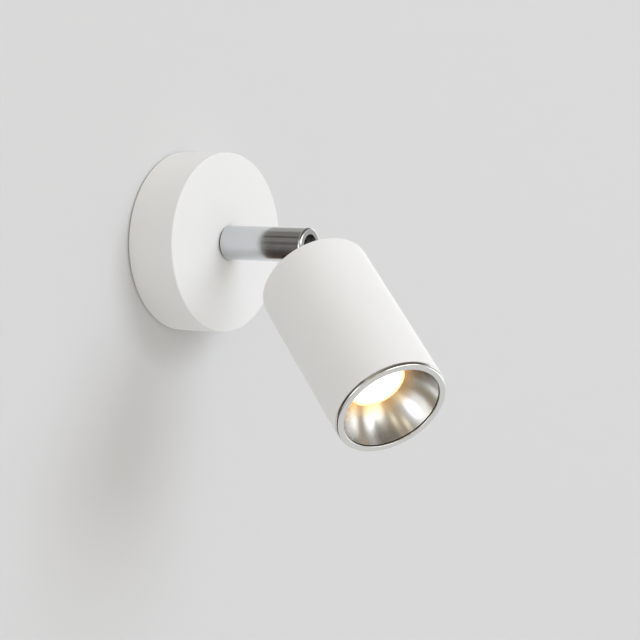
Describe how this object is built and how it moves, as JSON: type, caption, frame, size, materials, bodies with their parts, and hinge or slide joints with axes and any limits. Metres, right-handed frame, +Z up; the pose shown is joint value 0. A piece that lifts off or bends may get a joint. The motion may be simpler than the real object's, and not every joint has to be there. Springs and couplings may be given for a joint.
{
  "type": "wall spotlight",
  "caption": "Wall spotlight: round white canopy, short chrome arm that turns, and a white cylindrical head that tilts, with a chrome bezel and a satin reflector bowl.",
  "frame": {"origin": "centre of the wall bracket's back face, on the wall", "axes": "+Y into the wall, the room on the -Y side, +Z up"},
  "size_m": [0.1248, 0.189, 0.1524],
  "materials": {
    "white_steel": "matte",
    "white_aluminium": "matte",
    "chrome_steel": "polished",
    "dark_steel": "satin",
    "zinc_steel": "satin",
    "plain_aluminium": "satin",
    "satin_reflector": "satin",
    "brass": "satin",
    "black_rubber": "matte",
    "dark_nylon": "matte",
    "white_nylon": "matte",
    "grey_silicone": "matte",
    "led_phosphor": "satin",
    "lit_acrylic": "satin",
    "lead_sheath": "satin",
    "earth_sheath": "satin"
  },
  "bodies": {
    "base": {"wall_bracket": "zinc_steel", "canopy": "white_steel", "canopy_screws": "zinc_steel", "cable_grommet": "black_rubber", "terminal_block": "white_nylon", "terminal_clamps": "brass", "terminal_screws": "zinc_steel", "led_driver": "white_nylon", "driver_screws": "zinc_steel", "supply_leads": "lead_sheath", "driver_lead": "lead_sheath", "earth_screw": "brass", "earth_tag": "brass", "earth_lead": "earth_sheath", "swivel_stop_pin": "zinc_steel"},
    "arm": {"arm_washer": "dark_nylon", "inner_washer": "dark_nylon", "stop_washer": "zinc_steel", "spring_washer": "zinc_steel", "lock_nut": "zinc_steel", "arm_nipple": "zinc_steel", "arm_plug": "zinc_steel", "arm_sleeve": "chrome_steel", "hinge_fork": "dark_steel", "pivot_pins": "zinc_steel", "friction_cup": "dark_nylon", "cup_spring": "zinc_steel", "arm_lead": "lead_sheath"},
    "head": {"knuckle": "chrome_steel", "neck_collar": "chrome_steel", "neck_washer": "zinc_steel", "neck_nut": "zinc_steel", "housing": "white_aluminium", "heat_sink": "plain_aluminium", "thermal_pad": "grey_silicone", "led_board": "plain_aluminium", "led_emitter": "led_phosphor", "led_holder": "white_nylon", "holder_screws": "zinc_steel", "diffuser": "lit_acrylic", "reflector": "satin_reflector", "bezel_gasket": "black_rubber", "bezel": "chrome_steel", "head_lead": "lead_sheath"}
  },
  "joints": [
    {"name": "arm_swivel", "type": "hinge", "parent": "base", "child": "arm", "pos_m": [0, 0, 0], "axis": [0, -1, 0], "range_deg": [-134, 195]},
    {"name": "head_tilt", "type": "hinge", "parent": "arm", "child": "head", "pos_m": [0, -0.0748, 0], "axis": [0.859, 0, -0.512], "range_deg": [-44.4, 45.6]}
  ]
}
